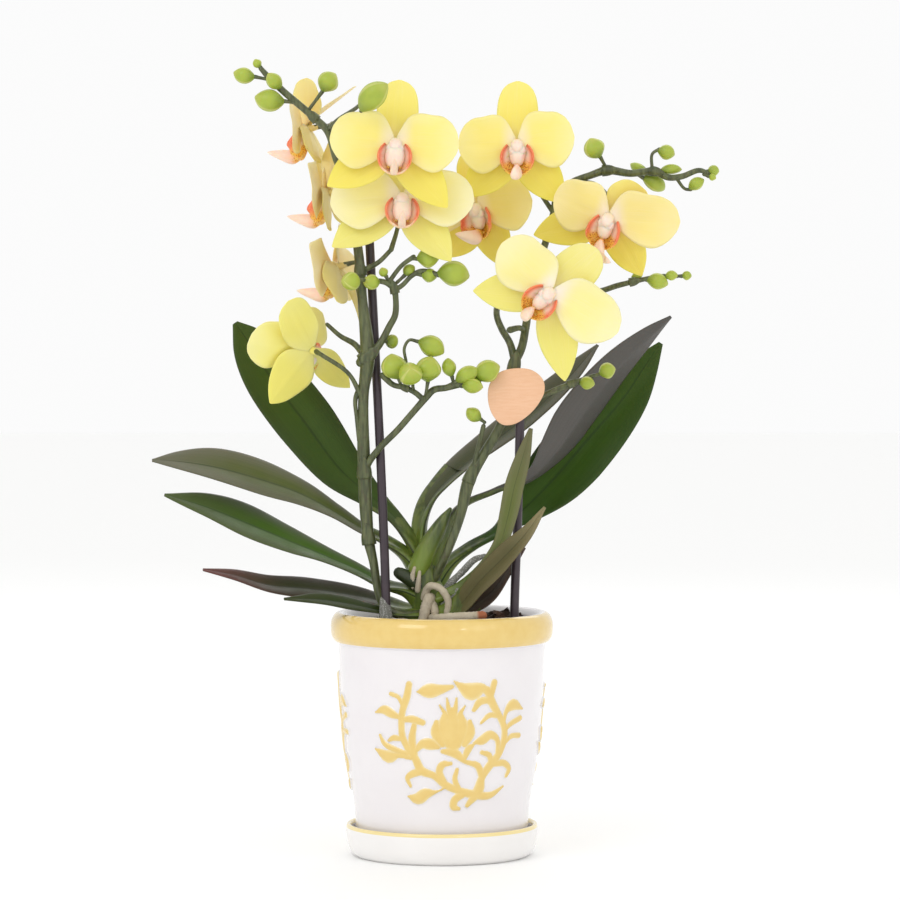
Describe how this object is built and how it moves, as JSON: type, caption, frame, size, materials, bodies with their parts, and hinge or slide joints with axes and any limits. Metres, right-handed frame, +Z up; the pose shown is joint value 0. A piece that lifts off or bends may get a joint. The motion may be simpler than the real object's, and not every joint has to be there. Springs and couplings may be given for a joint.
{
  "type": "potted orchid",
  "caption": "Miniature moth orchid with staked, branching flower spikes, strap leaves, open blooms and buds, in a glazed pot with raised scroll ornament on a saucer.",
  "frame": {"origin": "on the floor, at the middle of the saucer's flat underside, on the pot's axis", "axes": "+Z up along the pot's axis, +X to the right of a viewer who faces the open blooms, -Y towards that viewer"},
  "size_m": [0.2785, 0.1162, 0.3923],
  "materials": {
    "pot_glaze": "glossy off-white glaze with honey-yellow glaze on the rim and the raised ornament",
    "saucer_glaze": "glossy off-white glaze with a thin yellow line along the edge",
    "mix": "rough, loose bark and fibre, dark brown",
    "crown": "fleshy plant tissue, satin, yellow-green sheaths and silvery roots",
    "leaf_green": "thick waxy leaf, satin, dark green",
    "leaf_purplish": "thick waxy leaf, satin, grey-purple upper side and green underside",
    "stem": "fleshy plant tissue, satin, olive stems with lime-green buds",
    "petal": "soft thin petal, matt, pale yellow with an orange-red lip",
    "stake": "smooth rod, dark purple-brown",
    "tag": "matt card with a fine wood-like grain, bare"
  },
  "bodies": {
    "root": {"saucer": "saucer_glaze", "pot": "pot_glaze", "growing_mix": "mix", "crown_with_roots": "crown", "stake_left": "stake", "stake_right": "stake", "spike_left": "stem", "spike_right": "stem", "leaf_left_high": "leaf_green", "leaf_left_upper": "leaf_green", "leaf_left_lower": "leaf_green", "leaf_left_reddish": "leaf_green", "leaf_left_small": "leaf_green", "leaf_right_purple": "leaf_purplish", "leaf_right_bright": "leaf_green", "leaf_right_folded": "leaf_green", "leaf_right_upright": "leaf_green", "leaf_right_olive": "leaf_green", "leaf_right_low": "leaf_purplish", "bloom_1": "petal", "bloom_2": "petal", "bloom_3": "petal", "bloom_4": "petal", "bloom_5": "petal", "bloom_6": "petal", "bloom_7": "petal", "bloom_8": "petal", "bloom_9": "petal", "bloom_10": "petal", "tag": "tag"}
  },
  "joints": []
}
